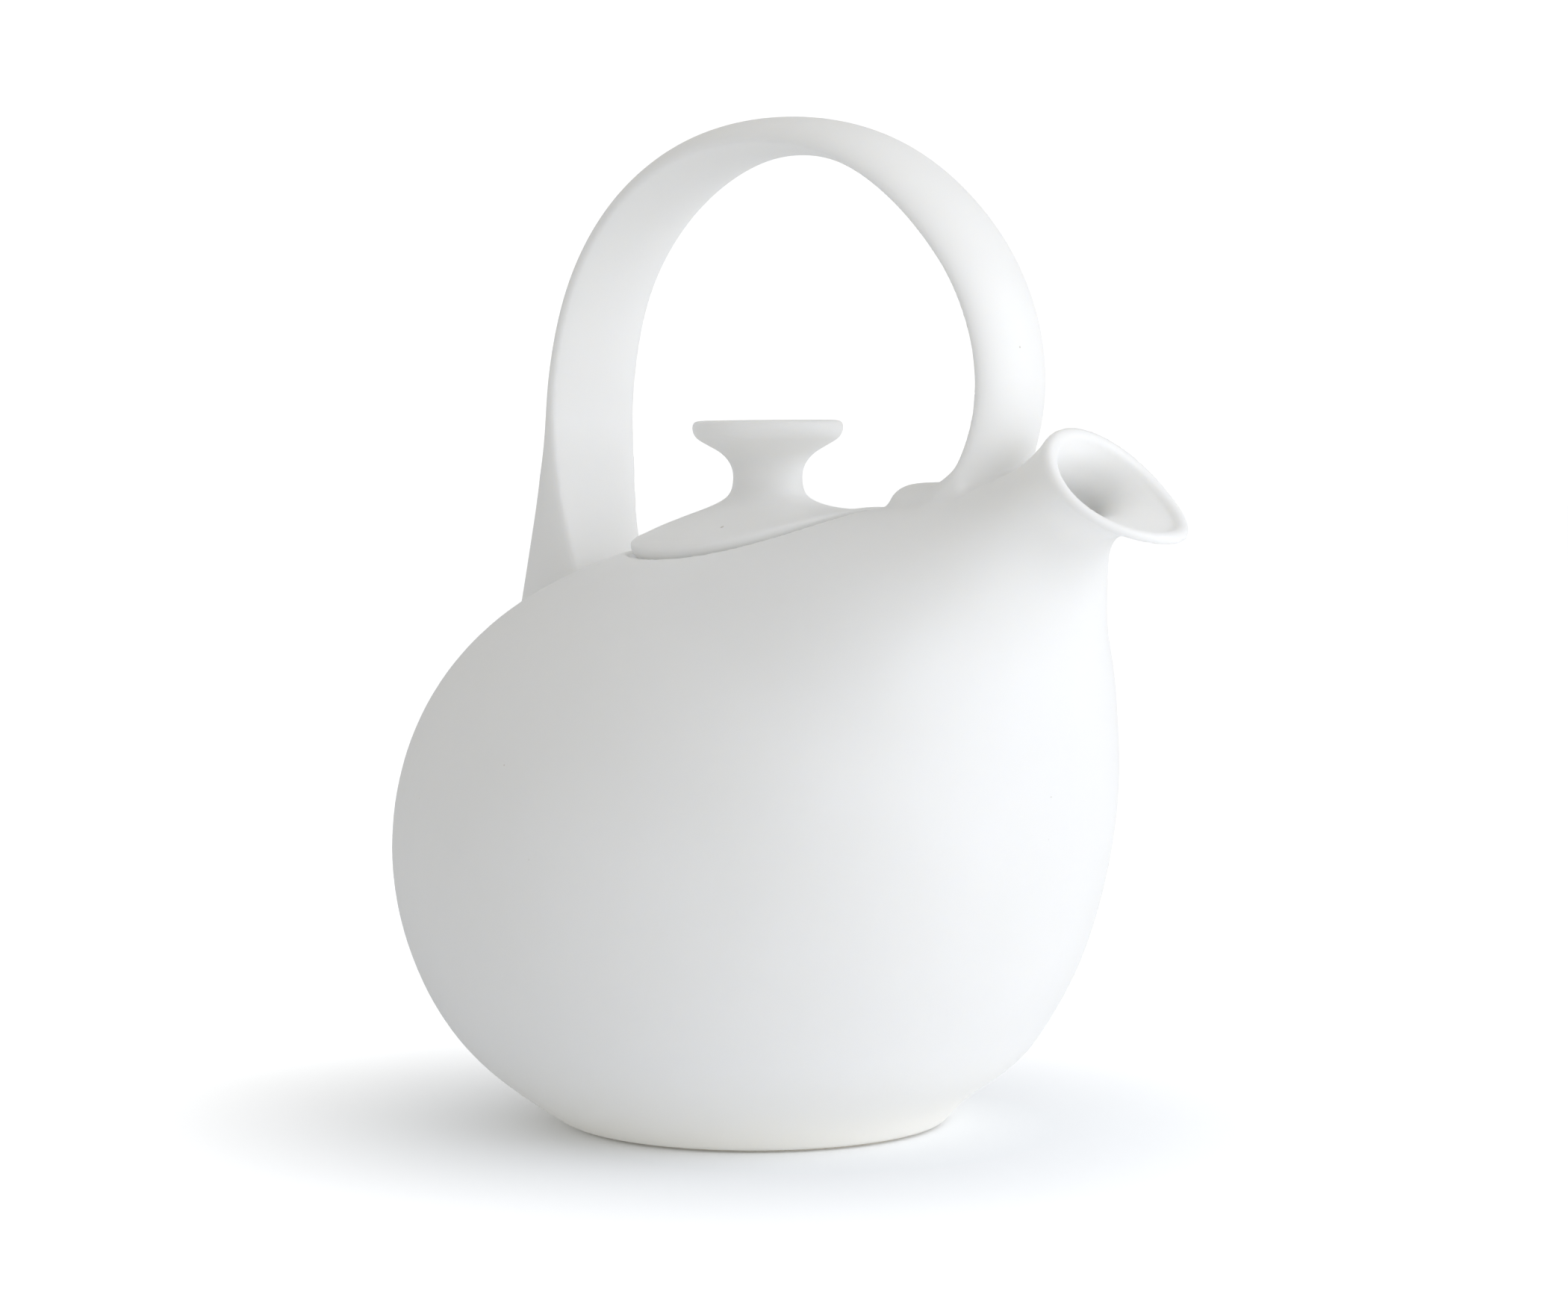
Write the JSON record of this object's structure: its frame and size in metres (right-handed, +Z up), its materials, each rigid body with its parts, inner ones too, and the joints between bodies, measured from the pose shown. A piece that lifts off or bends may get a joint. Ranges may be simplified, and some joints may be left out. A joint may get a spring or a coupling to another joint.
{
  "type": "coffee pot",
  "caption": "Matte white ceramic pot with a round leaning body, a flared pouring lip, an overhead strap handle and a loose lid with a spool knob",
  "frame": {"origin": "middle of the overall length and width, on the plane that the pot stands on", "axes": "+Z up; +X towards the pouring lip; +Y to the pot's left, seen from behind with the lip ahead"},
  "size_m": [0.187, 0.1556, 0.2193],
  "materials": {
    "white_glaze": "satin-matte white glaze",
    "bare_clay": "unglazed fired clay"
  },
  "bodies": {
    "pot": {"body_shell": "white_glaze", "spout": "white_glaze", "handle": "white_glaze", "lid_gallery": "white_glaze", "lid_hood": "white_glaze", "foot_ring": "bare_clay"},
    "lid": {"lid_plate": "white_glaze", "lid_knob": "white_glaze", "lid_flange": "white_glaze"}
  },
  "joints": [
    {"name": "lid_lift", "type": "slide", "parent": "pot", "child": "lid", "axis": [0, 0, 1], "range_m": [0, 0.05]}
  ]
}
